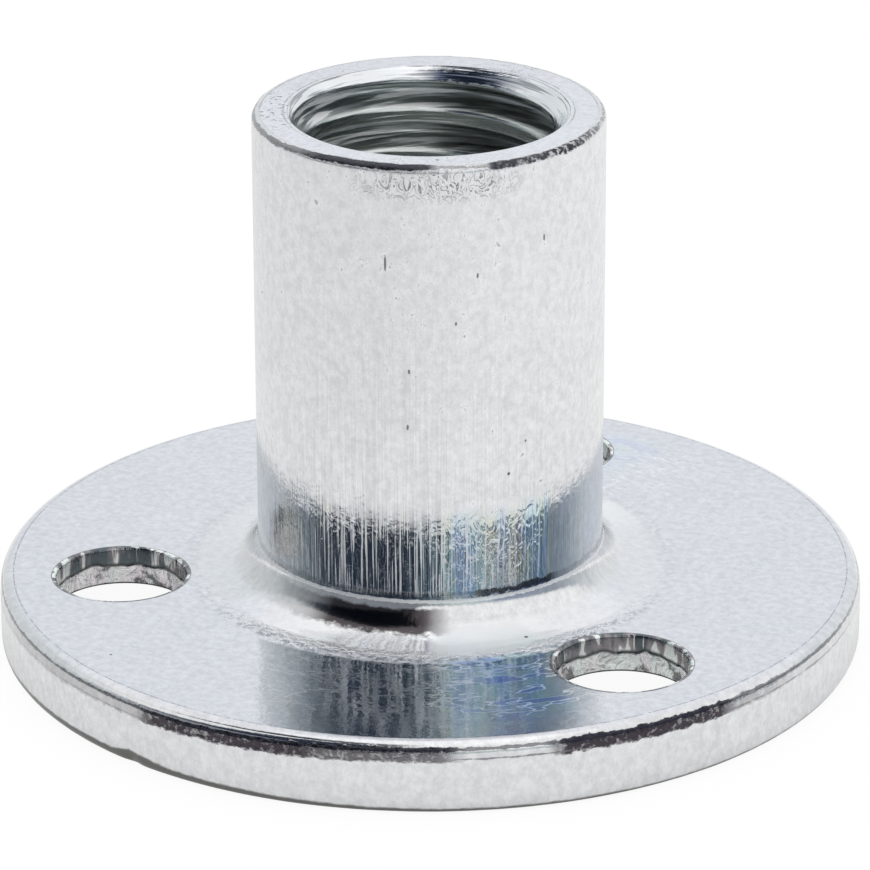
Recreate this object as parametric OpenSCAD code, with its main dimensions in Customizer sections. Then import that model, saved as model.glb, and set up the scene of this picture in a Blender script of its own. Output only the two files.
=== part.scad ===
// Three-hole tee nut: a round flange pressed up into a threaded barrel, all one piece of
// zinc plated sheet steel. The barrel is pushed into a drilled hole, the flange lies on the
// work and three screws hold it. Millimetres, +Z along the barrel towards its mouth, origin
// on the axis in the plane that the flange's turned rim rests on.

/* [Barrel] */
// Overall height, from the foot of the rim to the barrel's mouth
total_h = 19.1; // [14:0.1:30]
// Outside diameter of the barrel
barrel_d = 12; // [11:0.1:14.4]
// Radius on the outer edge of the mouth
mouth_edge_r = 0.22; // [0.05:0.01:0.3]

/* [Thread] */
// Nominal diameter of the screw that the barrel takes
thread_d = 10; // [8:1:10]
// Pitch of the thread
thread_pitch = 1.5; // [0.75:0.25:1.5]
// How much wider than the basic crest diameter the crests stand
crest_allowance = 0.07; // [0:0.01:0.3]
// Diameter of the chamfer at the mouth of the barrel
mouth_d = 9.6; // [9:0.1:10.4]
// Depth of the chamfer at the mouth of the barrel
mouth_chamfer_h = 0.55; // [0.3:0.05:1]

/* [Flange] */
// Outside diameter of the flange
flange_d = 30; // [30:0.5:40]
// Height of the flange's rim, from its foot to the seating face
rim_h = 2.55; // [2:0.05:4]
// Thickness of the sheet in the web that carries the screw holes
web_t = 1.4; // [0.8:0.05:1.8]
// Thickness of the turned-down rim
rim_t = 1.35; // [0.8:0.05:1.6]
// Radius between the seating face and the barrel
root_r = 1.4; // [0.5:0.1:1.8]
// Radius of the rounded entry to the bore on the underside
entry_r = 2.7; // [1:0.1:3]

/* [Flange edges] */
// Radius on the rim's top outer edge
rim_top_r = 0.5; // [0.1:0.05:0.7]
// Radius on the rim's foot, outside
rim_foot_r = 0.35; // [0.1:0.05:0.6]
// Radius on the rim's foot, inside
rim_lip_r = 0.2; // [0.05:0.05:0.3]
// Radius in the corner between the web and the inside of the rim
rim_corner_r = 0.4; // [0.1:0.05:0.6]

/* [Screw holes] */
// Number of screw holes
hole_count = 3; // [2:1:4]
// Diameter of the circle that the holes stand on
hole_circle_d = 21.6; // [20.4:0.1:21.8]
// Diameter of the sheared land in a hole
hole_d = 4.5; // [3:0.1:4.6]
// Radius that the punch leaves on a hole's top edge
roll_over_r = 0.12; // [0.05:0.01:0.25]
// Height of the broken-out zone below the sheared land
breakout_h = 0.75; // [0.3:0.05:0.8]
// How much wider than the land the hole is at its lower edge, each side
breakout_w = 0.08; // [0.02:0.01:0.15]

/* [Hidden] */
$fn = 144;

// Basic crest diameter of a metric nut thread is its nominal diameter less this many pitches
CREST_DEPTH = 1.0825;
// How far a cutting shape runs past the face that it opens
PAST = 1;

barrel_r = barrel_d / 2;
flange_r = flange_d / 2;
crest_r = (thread_d - CREST_DEPTH * thread_pitch + crest_allowance) / 2;
web_z = rim_h - web_t;
rim_inner_r = flange_r - rim_t;
entry_end = crest_r + entry_r;
hole_r = hole_d / 2;

// What lies outside a round edge of radius r whose sharp corner would be at the origin, with the
// material on the side that sx and sy point to (each is 1 or -1)
module beyond_edge(r, sx, sy) {
    mirror([sx < 0 ? 1 : 0, 0]) mirror([0, sy < 0 ? 1 : 0])
        difference() {
            translate([-PAST, -PAST]) square(r + PAST);
            translate([r, r]) circle(r);
        }
}

// Fillet of radius r in the corner between a wall and a floor that meet at the origin, on the
// side that sx and sy point to
module corner_fillet(r, sx, sy) {
    mirror([sx < 0 ? 1 : 0, 0]) mirror([0, sy < 0 ? 1 : 0])
        difference() {
            square(r);
            translate([r, r]) circle(r);
        }
}

// Half section of the outside: rim and seating face, root radius and barrel
module outer_section() {
    difference() {
        union() {
            square([flange_r, rim_h]);
            square([barrel_r, total_h]);
            translate([barrel_r, rim_h]) corner_fillet(root_r, 1, 1);
        }
        translate([flange_r, rim_h]) beyond_edge(rim_top_r, -1, -1);
        translate([flange_r, 0]) beyond_edge(rim_foot_r, -1, 1);
        translate([barrel_r, total_h]) beyond_edge(mouth_edge_r, -1, -1);
    }
}

// Half section of what is hollow: the underside within the rim, the rounded entry, the bore at
// the thread's crest diameter and the chamfer at the mouth
module inner_section() {
    difference() {
        translate([0, -PAST]) square([rim_inner_r, web_z + PAST]);
        translate([rim_inner_r, web_z]) corner_fillet(rim_corner_r, -1, -1);
    }
    translate([rim_inner_r, 0]) beyond_edge(rim_lip_r, 1, 1);
    difference() {
        translate([0, web_z]) square([entry_end, entry_r]);
        translate([entry_end, web_z + entry_r]) circle(entry_r);
    }
    square([crest_r, total_h + PAST]);
    polygon([
        [0, total_h - mouth_chamfer_h],
        [crest_r, total_h - mouth_chamfer_h],
        [mouth_d / 2, total_h],
        [mouth_d / 2, total_h + PAST],
        [0, total_h + PAST],
    ]);
}

// One punched hole through the web, on the Z axis: rolled top edge, sheared land and the wider
// zone below it where the slug broke away
module punched_hole() {
    rotate_extrude() {
        translate([0, web_z - PAST]) square([hole_r, web_t + 2 * PAST]);
        translate([hole_r, rim_h]) beyond_edge(roll_over_r, 1, -1);
        polygon([
            [0, web_z - PAST],
            [hole_r + breakout_w, web_z - PAST],
            [hole_r + breakout_w, web_z],
            [hole_r, web_z + breakout_h],
            [0, web_z + breakout_h],
        ]);
    }
}

// The whole nut: one revolved section with its ring of punched holes, the first on +Y
module tee_nut() {
    color([0.80, 0.83, 0.85])
        difference() {
            rotate_extrude()
                difference() {
                    outer_section();
                    inner_section();
                }
            for (i = [0:hole_count - 1])
                rotate([0, 0, 90 + i * 360 / hole_count])
                    translate([hole_circle_d / 2, 0, 0]) punched_hole();
        }
}

tee_nut();
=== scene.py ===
import math
import bmesh
import bpy
from mathutils import Matrix, Vector, noise


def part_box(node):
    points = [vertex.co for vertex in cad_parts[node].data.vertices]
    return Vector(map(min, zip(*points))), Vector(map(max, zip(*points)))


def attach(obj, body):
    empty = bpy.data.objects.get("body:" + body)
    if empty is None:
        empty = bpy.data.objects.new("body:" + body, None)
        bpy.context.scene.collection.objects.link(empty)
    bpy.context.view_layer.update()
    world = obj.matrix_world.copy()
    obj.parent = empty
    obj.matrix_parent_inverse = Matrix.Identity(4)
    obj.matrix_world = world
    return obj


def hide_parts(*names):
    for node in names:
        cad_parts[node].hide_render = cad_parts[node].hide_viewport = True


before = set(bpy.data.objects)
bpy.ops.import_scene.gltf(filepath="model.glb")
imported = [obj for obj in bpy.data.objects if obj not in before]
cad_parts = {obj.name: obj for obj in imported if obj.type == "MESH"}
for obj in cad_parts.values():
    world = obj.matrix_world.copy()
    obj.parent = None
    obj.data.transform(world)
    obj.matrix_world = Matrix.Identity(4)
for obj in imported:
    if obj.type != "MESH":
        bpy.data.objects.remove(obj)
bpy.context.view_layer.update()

# ---------------------------------------------------------------- camera
# A long lens looks down on the nut from the side between two of its screw holes, from a little
# above the barrel's mouth. Lengths are in mm and angles in degrees.
MM = 0.001
LOOK_AZIMUTH = 23.6
LOOK_DISTANCE = 169.59 * MM
LOOK_HEIGHT = 76.58 * MM
LOOK_DOWN = 22.242
LOOK_ASIDE = 0.06
LOOK_ROLL = -0.15

look = bpy.data.cameras.new("look")
look.sensor_width = 36
look.lens = 219.1
look.clip_start = 0.01
look.clip_end = 20
camera = bpy.data.objects.new("look", look)
bpy.context.scene.collection.objects.link(camera)
turn = math.radians(LOOK_AZIMUTH)
camera.matrix_world = (
    Matrix.Translation((math.sin(turn) * LOOK_DISTANCE, -math.cos(turn) * LOOK_DISTANCE, LOOK_HEIGHT))
    @ Matrix.Rotation(turn - math.radians(LOOK_ASIDE), 4, "Z")
    @ Matrix.Rotation(math.radians(90 - LOOK_DOWN), 4, "X")
    @ Matrix.Rotation(math.radians(LOOK_ROLL), 4, "Z")
)
bpy.context.scene.camera = camera

# ---------------------------------------------------------------- flange rim and barrel skins
# The flange and barrel are one pressing: the sheet's edge is turned down into a rim, and the
# middle is drawn up into the barrel, with a root radius above and a rounded entry below. Both
# skins are turned sections; the flat web between them is filled in with the screw holes.
_, node_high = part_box("tee_nut")
TOTAL_H = node_high.z / MM
FLANGE_R = node_high.x / MM
BARREL_R = 6.0
MOUTH_EDGE_R = 0.22
MOUTH_R = 4.8
MOUTH_LIP_R = 0.07
CHAMFER_H = 0.55
CREST_R = 4.2231
RIM_H = 2.55
WEB_T = 1.4
RIM_T = 1.35
ROOT_R = 1.4
ENTRY_R = 2.7
RIM_TOP_R = 0.5
RIM_FOOT_R = 0.35
RIM_LIP_R = 0.2
RIM_CORNER_R = 0.4
WEB_Z = RIM_H - WEB_T
BARREL_COLUMNS = 192
RIM_COLUMNS = 768
SUPPORT = 0.03
TEAR_RELIEF = 0.018
KNOCK_BEARING = 252.0
KNOCK_SPREAD = 1.3
KNOCK_DEPTH = 0.09


def arc(middle_r, middle_z, radius, start, end, steps):
    """Points (r, z) on a round edge of a half section, angles in degrees from +r towards +z."""
    points = []
    for i in range(steps + 1):
        a = math.radians(start + (end - start) * i / steps)
        points.append((middle_r + radius * math.cos(a), middle_z + radius * math.sin(a)))
    return points


def line(r0, z0, r1, z1, steps):
    """Points (r, z) on a straight stretch of a half section, without its two ends."""
    return [(r0 + (r1 - r0) * i / steps, z0 + (z1 - z0) * i / steps) for i in range(1, steps)]


def turned(name, section, columns, uneven=None):
    """A skin turned about Z from a half section in mm. uneven(r, z, angle) moves each point."""
    mesh = bpy.data.meshes.new(name)
    shape = bmesh.new()
    rows = []
    for r, z in section:
        row = []
        for column in range(columns):
            angle = 2 * math.pi * column / columns
            rr, zz = uneven(r, z, angle) if uneven else (r, z)
            row.append(shape.verts.new((rr * math.cos(angle) * MM, rr * math.sin(angle) * MM, zz * MM)))
        rows.append(row)
    for below, above in zip(rows, rows[1:]):
        for column in range(columns):
            after = (column + 1) % columns
            shape.faces.new((below[column], below[after], above[after], above[column]))
    shape.to_mesh(mesh)
    shape.free()
    return mesh


def ramp(value, low, high):
    """0 below low, 1 above high and smooth between them."""
    t = min(max((value - low) / (high - low), 0), 1)
    return t * t * (3 - 2 * t)


def rim_unevenness(r, z, angle):
    """The turned edge is a little torn where its top radius meets the wall, and not quite round."""
    round_edge = ramp(r, FLANGE_R - RIM_TOP_R - 0.1, FLANGE_R - 0.2)
    at = Vector((math.cos(angle) * r, math.sin(angle) * r, z))
    tear_line = math.exp(-(((z - (RIM_H - RIM_TOP_R - 0.03)) / 0.13) ** 2))
    rough = noise.noise(at * 2.6) + 0.6 * noise.noise(at * 6.5 + Vector((7, 3, 1)))
    inward = round_edge * (0.016 + TEAR_RELIEF * rough) * tear_line
    inward += round_edge * 0.012 * (0.5 + 0.5 * noise.noise(Vector((at.x, at.y, 0)) * 0.35))
    foot = round_edge * ramp(RIM_FOOT_R + 0.1 - z, 0, 0.3)
    inward += foot * 0.01 * (1 + noise.noise(at * 1.4))
    knock = math.exp(-((math.degrees(angle) - KNOCK_BEARING) / KNOCK_SPREAD) ** 2)
    inward += KNOCK_DEPTH * knock * math.exp(-((z - 0.2) / 0.28) ** 2) * round_edge
    return r - inward, z


rim_inner_r = FLANGE_R - RIM_T
rim_section = [(FLANGE_R - RIM_TOP_R - SUPPORT * 2, RIM_H), (FLANGE_R - RIM_TOP_R - SUPPORT, RIM_H)]
rim_section += arc(FLANGE_R - RIM_TOP_R, RIM_H - RIM_TOP_R, RIM_TOP_R, 90, 0, 12)
rim_section += line(FLANGE_R, RIM_H - RIM_TOP_R, FLANGE_R, RIM_H - RIM_TOP_R - 0.4, 6)
rim_section += line(FLANGE_R, RIM_H - RIM_TOP_R - 0.4, FLANGE_R, RIM_FOOT_R, 7)
rim_section += arc(FLANGE_R - RIM_FOOT_R, RIM_FOOT_R, RIM_FOOT_R, 0, -90, 7)
rim_section += arc(rim_inner_r + RIM_LIP_R, RIM_LIP_R, RIM_LIP_R, 270, 180, 4)
rim_section += line(rim_inner_r, RIM_LIP_R, rim_inner_r, WEB_Z - RIM_CORNER_R, 2)
rim_section += arc(rim_inner_r - RIM_CORNER_R, WEB_Z - RIM_CORNER_R, RIM_CORNER_R, 0, 90, 5)
rim_section += [(rim_inner_r - RIM_CORNER_R - SUPPORT, WEB_Z)]
rim_skin = turned("rim_skin", rim_section, RIM_COLUMNS, rim_unevenness)


def barrel_unevenness(r, z, angle):
    """The mouth was faced off: its outer edge carries a thin burr, stronger on one side."""
    edge = ramp(r, BARREL_R - 0.3, BARREL_R - 0.1) * ramp(z, TOTAL_H - 0.45, TOTAL_H - 0.12)
    at = Vector((math.cos(angle) * 6, math.sin(angle) * 6, z))
    burr = noise.noise(at * 1.7) + 0.7 * noise.noise(at * 4.1)
    return r - edge * 0.012 * (0.6 + burr), z - edge * 0.008 * (1 + burr)


barrel_section = [(BARREL_R + ROOT_R + SUPPORT, RIM_H)]
barrel_section += arc(BARREL_R + ROOT_R, RIM_H + ROOT_R, ROOT_R, 270, 180, 18)
barrel_section += line(BARREL_R, RIM_H + ROOT_R, BARREL_R, TOTAL_H - 0.6, 12)
barrel_section += line(BARREL_R, TOTAL_H - 0.6, BARREL_R, TOTAL_H - MOUTH_EDGE_R, 5)
barrel_section += arc(BARREL_R - MOUTH_EDGE_R, TOTAL_H - MOUTH_EDGE_R, MOUTH_EDGE_R, 0, 90, 6)
barrel_section += [(BARREL_R - MOUTH_EDGE_R - SUPPORT, TOTAL_H)]
barrel_section += [(BARREL_R - MOUTH_EDGE_R - 0.25, TOTAL_H)]
chamfer_slope = math.degrees(math.atan2(CHAMFER_H, MOUTH_R - CREST_R))
lip_r = MOUTH_R + MOUTH_LIP_R * math.tan(math.radians(chamfer_slope) / 2)
barrel_section += [(lip_r + 0.25, TOTAL_H), (lip_r + SUPPORT, TOTAL_H)]
barrel_section += arc(lip_r, TOTAL_H - MOUTH_LIP_R, MOUTH_LIP_R, 90, 90 + chamfer_slope, 5)
wall_top_r, wall_top_z = barrel_section[-1]
barrel_skin = turned("barrel_skin", barrel_section, BARREL_COLUMNS, barrel_unevenness)

wall_low_z = WEB_Z + ENTRY_R
entry_section = arc(CREST_R + ENTRY_R, WEB_Z + ENTRY_R, ENTRY_R, 180, 270, 16)
entry_section += [(CREST_R + ENTRY_R + SUPPORT, WEB_Z)]
entry_skin = turned("entry_skin", entry_section, BARREL_COLUMNS)

# ---------------------------------------------------------------- thread
# The barrel's bore carries a right-hand M10 x 1.5 thread, cold formed, so its crests have a fine
# seam along the middle. It fades out in the rounded entry and cuts into the chamfer at the mouth.
THREAD_PITCH = 1.5
THREAD_ROOT_R = 5.0
CREST_HEIGHT_AT_X = 1.978
STEPS_PER_TURN = 16
THREAD_TURNS = 12
WELD = 1e-6


def new_tree(name, sizes):
    """An empty geometry tree with a named input for each size and one mesh output."""
    tree = bpy.data.node_groups.new(name, "GeometryNodeTree")
    for label, kind, value in sizes:
        item = tree.interface.new_socket(label, in_out="INPUT", socket_type=kind)
        if value is not None:
            item.default_value = value
    tree.interface.new_socket("Mesh", in_out="OUTPUT", socket_type="NodeSocketGeometry")
    start = tree.nodes.new("NodeGroupInput")
    end = tree.nodes.new("NodeGroupOutput")
    return tree, start, end


def wire(tree, source, target):
    """Links a reading, a node's first output or an output socket to an input; a value is set."""
    if isinstance(source, Reading):
        source = source.socket
    if isinstance(source, (int, float, bool, tuple)):
        target.default_value = source
    else:
        tree.links.new(source.outputs[0] if hasattr(source, "outputs") else source, target)


class Reading:
    """One value in a node tree. Sums, products and ramps of it make the nodes that work them out."""

    def __init__(self, tree, source):
        self.tree = tree
        self.socket = source.outputs[0] if hasattr(source, "outputs") else source

    def made_by(self, node, *values):
        """The first output of a node that has these values as its inputs."""
        for value, socket in zip(values, node.inputs):
            wire(self.tree, value, socket)
        return Reading(self.tree, node)

    def reckoned(self, operation, *values):
        """A Math node on values that this one need not be the first of."""
        node = self.tree.nodes.new("ShaderNodeMath")
        node.operation = operation
        return self.made_by(node, *values)

    def worked(self, operation, *others):
        """A Math node on this value and the others."""
        return self.reckoned(operation, self, *others)

    def ramp(self, low, high, to_low=0.0, to_high=1.0, how="LINEAR"):
        """A clamped Map Range node: from to_low at low to to_high at high."""
        node = self.tree.nodes.new("ShaderNodeMapRange")
        node.interpolation_type = how
        return self.made_by(node, self, low, high, to_low, to_high)

    def __add__(self, other):
        return self.reckoned("ADD", self, other)

    def __radd__(self, other):
        return self.reckoned("ADD", other, self)

    def __sub__(self, other):
        return self.reckoned("SUBTRACT", self, other)

    def __rsub__(self, other):
        return self.reckoned("SUBTRACT", other, self)

    def __mul__(self, other):
        return self.reckoned("MULTIPLY", self, other)

    def __truediv__(self, other):
        return self.reckoned("DIVIDE", self, other)


def readings(tree, node):
    """The outputs of a node, by name."""
    return {socket.name: Reading(tree, socket) for socket in node.outputs if socket.name}


def added(tree, kind, inputs):
    """A new node of that kind, with its inputs wired by name or number. A list goes into one."""
    node = tree.nodes.new(kind)
    for key, source in inputs.items():
        for each in source if isinstance(source, list) else [source]:
            wire(tree, each, node.inputs[key])
    return node


def parts_of(tree, point):
    """The X, Y and Z of a point."""
    node = added(tree, "ShaderNodeSeparateXYZ", {0: point})
    return [Reading(tree, socket) for socket in node.outputs]


thread_tree, sizes, result = new_tree(
    "formed_thread",
    [
        ("Crest Radius", "NodeSocketFloat", CREST_R * MM),
        ("Root Radius", "NodeSocketFloat", THREAD_ROOT_R * MM),
        ("Pitch", "NodeSocketFloat", THREAD_PITCH * MM),
        ("Crest Flat", "NodeSocketFloat", 0.20),
        ("Root Flat", "NodeSocketFloat", 0.06),
        ("Seam Depth", "NodeSocketFloat", 0.035 * MM),
        ("First Crest", "NodeSocketFloat", CREST_HEIGHT_AT_X * MM),
        ("Low End", "NodeSocketFloat", wall_low_z * MM),
        ("High End", "NodeSocketFloat", wall_top_z * MM),
        ("Run Out", "NodeSocketFloat", 1.1 * MM),
        ("Chamfer Foot", "NodeSocketFloat", (TOTAL_H - CHAMFER_H) * MM),
        ("Chamfer Radius", "NodeSocketFloat", wall_top_r * MM),
        ("Columns", "NodeSocketInt", BARREL_COLUMNS),
        ("Turns", "NodeSocketInt", THREAD_TURNS),
        ("Steps Per Turn", "NodeSocketInt", STEPS_PER_TURN),
        ("Material", "NodeSocketMaterial", None),
    ],
)
size = readings(thread_tree, sizes)
rows = size["Turns"] * size["Steps Per Turn"]
strip = added(thread_tree, "GeometryNodeMeshGrid", {
    "Size X": 1.0, "Size Y": 1.0, "Vertices X": size["Columns"] + 1.0, "Vertices Y": rows + 1.0,
})
strip_x, strip_y, _ = parts_of(thread_tree, thread_tree.nodes.new("GeometryNodeInputPosition"))
around = strip_x + 0.5
along = (strip_y + 0.5) * size["Turns"]
climb = (along + around) * size["Pitch"]
height = climb + size["First Crest"]
height = height.worked("MAXIMUM", size["Low End"]).worked("MINIMUM", size["High End"])
from_crest = along.worked("PINGPONG", 0.5)
flank_start = size["Crest Flat"] * 0.5
flank_end = 0.5 - size["Root Flat"] * 0.5
full_depth = size["Root Radius"] - size["Crest Radius"]
depth = from_crest.ramp(flank_start, flank_end, 0.0, full_depth, "SMOOTHSTEP")
seam = from_crest.ramp(0.0, 0.05, size["Seam Depth"], 0.0, "SMOOTHSTEP")
depth = depth + seam
low_fade_end = size["Low End"] + size["Run Out"]
low_fade = height.ramp(size["Low End"], low_fade_end, 0.0, 1.0, "SMOOTHSTEP")
high_fade = height.ramp(size["Chamfer Foot"], size["High End"], 1.0, 0.0)
depth = depth * (low_fade * high_fade)
thread_r = size["Crest Radius"] + depth
chamfer_r = height.ramp(
    size["Chamfer Foot"], size["High End"], size["Crest Radius"], size["Chamfer Radius"]
)
wall_r = thread_r.worked("MAXIMUM", chamfer_r)
angle = around * (2 * math.pi)
wound = height.made_by(
    thread_tree.nodes.new("ShaderNodeCombineXYZ"),
    wall_r * angle.worked("COSINE"),
    wall_r * angle.worked("SINE"),
    height,
)
winding = added(thread_tree, "GeometryNodeSetPosition", {"Geometry": strip, "Position": wound})
weld = added(thread_tree, "GeometryNodeMergeByDistance", {"Geometry": winding, "Distance": WELD})
real = added(thread_tree, "GeometryNodeRealizeInstances", {"Geometry": weld})
coat = added(thread_tree, "GeometryNodeSetMaterial", {"Geometry": real, "Material": size["Material"]})
wire(thread_tree, coat, result.inputs[0])


def grown(name, tree, values):
    """The plain mesh that a geometry tree makes, with inputs set by their identifiers."""
    holder = bpy.data.objects.new(name, bpy.data.meshes.new(name))
    bpy.context.scene.collection.objects.link(holder)
    modifier = holder.modifiers.new(name, "NODES")
    modifier.node_group = tree
    named = {
        item.name: item.identifier
        for item in tree.interface.items_tree
        if item.item_type == "SOCKET" and item.in_out == "INPUT"
    }
    for label, value in values.items():
        modifier[named[label]] = value
    bpy.context.view_layer.update()
    evaluated = holder.evaluated_get(bpy.context.evaluated_depsgraph_get())
    mesh = bpy.data.meshes.new_from_object(evaluated)
    holder.modifiers.clear()
    bpy.data.objects.remove(holder)
    return mesh


plate_finish = bpy.data.materials.new("zinc_plate")
bore_finish = bpy.data.materials.new("zinc_in_bore")
hole_finish = bpy.data.materials.new("zinc_in_holes")
thread_wall = grown("thread_wall", thread_tree, {"Material": bore_finish})

# ---------------------------------------------------------------- screw holes and web
# Three holes are punched through the flat web from above. Each has a rolled top edge, a smooth
# sheared land and, below it, the rougher and wider zone where the slug broke away.
HOLE_COUNT = 3
HOLE_CIRCLE_R = 10.8
HOLE_R = 2.25
ROLL_OVER_R = 0.12
BREAKOUT_H = 0.75
BREAKOUT_W = 0.08
HOLE_COLUMNS = 96


def hole_unevenness(r, z, angle):
    """The land's lower end wanders round the hole, and the torn zone below it is rough."""
    at = Vector((math.cos(angle) * 2.2, math.sin(angle) * 2.2, z))
    torn = ramp(WEB_Z + BREAKOUT_H + 0.02 - z, 0, 0.06) * ramp(z, WEB_Z, WEB_Z + 0.05)
    lumps = noise.noise(at * 2.3) + 0.7 * noise.noise(at * 5.2 + Vector((3, 1, 8)))
    wander = (
        0.07 * noise.noise(Vector((at.x, at.y, 4)) * 0.9)
        + 0.03 * noise.noise(Vector((at.x, at.y, 9)) * 3)
    )
    middle = ramp(z, WEB_Z + 0.1, WEB_Z + BREAKOUT_H) * ramp(RIM_H - ROLL_OVER_R - z, 0, 0.2)
    return r + torn * 0.022 * lumps, z + wander * middle


outline_r = HOLE_R + ROLL_OVER_R
hole_section = [(outline_r + SUPPORT, RIM_H)]
hole_section += arc(outline_r, RIM_H - ROLL_OVER_R, ROLL_OVER_R, 90, 180, 6)
hole_section += line(HOLE_R, RIM_H - ROLL_OVER_R, HOLE_R, WEB_Z + BREAKOUT_H + 0.03, 3)
hole_section += [(HOLE_R, WEB_Z + BREAKOUT_H + 0.03), (HOLE_R + 0.02, WEB_Z + BREAKOUT_H - 0.02)]
hole_section += line(HOLE_R + 0.02, WEB_Z + BREAKOUT_H - 0.02, HOLE_R + BREAKOUT_W, WEB_Z + 0.03, 8)
hole_section += [(HOLE_R + BREAKOUT_W, WEB_Z + 0.03), (HOLE_R + BREAKOUT_W + 0.03, WEB_Z)]
hole_section += [(HOLE_R + BREAKOUT_W + 0.03 + SUPPORT, WEB_Z)]
hole_wall = bpy.data.objects.new(
    "hole_wall", turned("hole_wall", hole_section, HOLE_COLUMNS, hole_unevenness)
)
bpy.context.scene.collection.objects.link(hole_wall)

ring_tree, sizes, result = new_tree(
    "punched_web",
    [
        ("Hole Wall", "NodeSocketObject", None),
        ("Hole Count", "NodeSocketInt", HOLE_COUNT),
        ("Hole Circle Radius", "NodeSocketFloat", HOLE_CIRCLE_R * MM),
        ("Hole Columns", "NodeSocketInt", HOLE_COLUMNS),
        ("Top Hole Radius", "NodeSocketFloat", (outline_r + SUPPORT) * MM),
        ("Top Inner Radius", "NodeSocketFloat", barrel_section[0][0] * MM),
        ("Top Outer Radius", "NodeSocketFloat", rim_section[0][0] * MM),
        ("Top Height", "NodeSocketFloat", RIM_H * MM),
        ("Low Hole Radius", "NodeSocketFloat", hole_section[-1][0] * MM),
        ("Low Inner Radius", "NodeSocketFloat", entry_section[-1][0] * MM),
        ("Low Outer Radius", "NodeSocketFloat", rim_section[-1][0] * MM),
        ("Low Height", "NodeSocketFloat", WEB_Z * MM),
        ("Inner Columns", "NodeSocketInt", BARREL_COLUMNS),
        ("Outer Columns", "NodeSocketInt", RIM_COLUMNS),
        ("Web Material", "NodeSocketMaterial", None),
        ("Hole Material", "NodeSocketMaterial", None),
    ],
)
size = readings(ring_tree, sizes)
ring = added(ring_tree, "GeometryNodeMeshCircle", {
    "Vertices": size["Hole Count"], "Radius": size["Hole Circle Radius"],
})
FIRST_ON_Y = (0, 0, math.pi / 2)
ring = added(ring_tree, "GeometryNodeTransform", {"Geometry": ring, "Rotation": FIRST_ON_Y})


def punched(shape):
    """An instance of shape on each point of the ring, turned with it."""
    here = ring_tree.nodes.new("GeometryNodeInputPosition")
    outward = added(ring_tree, "FunctionNodeAlignRotationToVector", {"Vector": here})
    outward.axis = "X"
    outward.pivot_axis = "Z"
    placed = added(ring_tree, "GeometryNodeInstanceOnPoints", {
        "Points": ring, "Instance": shape, "Rotation": outward,
    })
    return added(ring_tree, "GeometryNodeRealizeInstances", {0: placed})


def hoop(columns, radius):
    """A closed round curve."""
    return added(ring_tree, "GeometryNodeCurvePrimitiveCircle", {
        "Resolution": columns, "Radius": radius,
    })


def web_face(side):
    """One flat face of the web, with the ring of holes left open."""
    edges = added(ring_tree, "GeometryNodeJoinGeometry", {0: [
        hoop(size["Inner Columns"], size[side + " Inner Radius"]),
        hoop(size["Outer Columns"], size[side + " Outer Radius"]),
        punched(hoop(size["Hole Columns"], size[side + " Hole Radius"])),
    ]})
    fill = added(ring_tree, "GeometryNodeFillCurve", {0: edges})
    lift = added(ring_tree, "ShaderNodeCombineXYZ", {"Z": size[side + " Height"]})
    return added(ring_tree, "GeometryNodeTransform", {"Geometry": fill, "Translation": lift})


wall = added(ring_tree, "GeometryNodeObjectInfo", {"Object": size["Hole Wall"]})
walls = added(ring_tree, "GeometryNodeSetMaterial", {
    "Geometry": punched(wall.outputs["Geometry"]), "Material": size["Hole Material"],
})
faces = added(ring_tree, "GeometryNodeJoinGeometry", {0: [web_face("Top"), web_face("Low")]})
real = added(ring_tree, "GeometryNodeRealizeInstances", {0: faces})
flats = added(ring_tree, "GeometryNodeSetMaterial", {
    "Geometry": real, "Material": size["Web Material"],
})
whole = added(ring_tree, "GeometryNodeJoinGeometry", {0: [walls, flats]})
wire(ring_tree, whole, result.inputs[0])
web = grown("web", ring_tree, {
    "Hole Wall": hole_wall, "Web Material": plate_finish, "Hole Material": hole_finish,
})
bpy.data.objects.remove(hole_wall)

# ---------------------------------------------------------------- the nut, in one piece
# Skins, thread and web are welded into the single closed solid that the pressing is.
finishes = [plate_finish, bore_finish, hole_finish]
nut_shape = bmesh.new()
for part in (rim_skin, barrel_skin, entry_skin, thread_wall, web):
    slots = [finishes.index(m) if m in finishes else 0 for m in part.materials] or [0]
    known = len(nut_shape.faces)
    nut_shape.from_mesh(part)
    nut_shape.faces.ensure_lookup_table()
    for face in nut_shape.faces[known:]:
        face.material_index = slots[min(face.material_index, len(slots) - 1)]
        face.smooth = True
bmesh.ops.remove_doubles(nut_shape, verts=nut_shape.verts, dist=WELD)
bmesh.ops.dissolve_degenerate(nut_shape, edges=nut_shape.edges, dist=WELD / 10)
bmesh.ops.recalc_face_normals(nut_shape, faces=nut_shape.faces)
nut_mesh = bpy.data.meshes.new("round_base_tee_nut")
nut_shape.to_mesh(nut_mesh)
nut_shape.free()
for finish in finishes:
    nut_mesh.materials.append(finish)
nut = bpy.data.objects.new("round_base_tee_nut", nut_mesh)
bpy.context.scene.collection.objects.link(nut)
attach(nut, "root")
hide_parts("tee_nut")

# ---------------------------------------------------------------- zinc finish
# Bright zinc with a clear blue passivate over drawn steel: pale and cool, with a fine orange
# peel, drawing streaks up the barrel, small pits and a faint rainbow where the film is thicker.


def finish_tree(material, roughness):
    """The material's tree with a Principled metal, its output and the surface point in mm."""
    material.use_nodes = True
    tree = material.node_tree
    tree.nodes.clear()
    shader = added(tree, "ShaderNodeBsdfPrincipled", {"Metallic": 1.0, "Roughness": roughness})
    added(tree, "ShaderNodeOutputMaterial", {"Surface": shader})
    point = tree.nodes.new("ShaderNodeVectorMath")
    point.operation = "SCALE"
    wire(tree, tree.nodes.new("ShaderNodeTexCoord").outputs["Object"], point.inputs[0])
    wire(tree, 1 / MM, point.inputs["Scale"])
    return tree, shader, Reading(tree, point)


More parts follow.
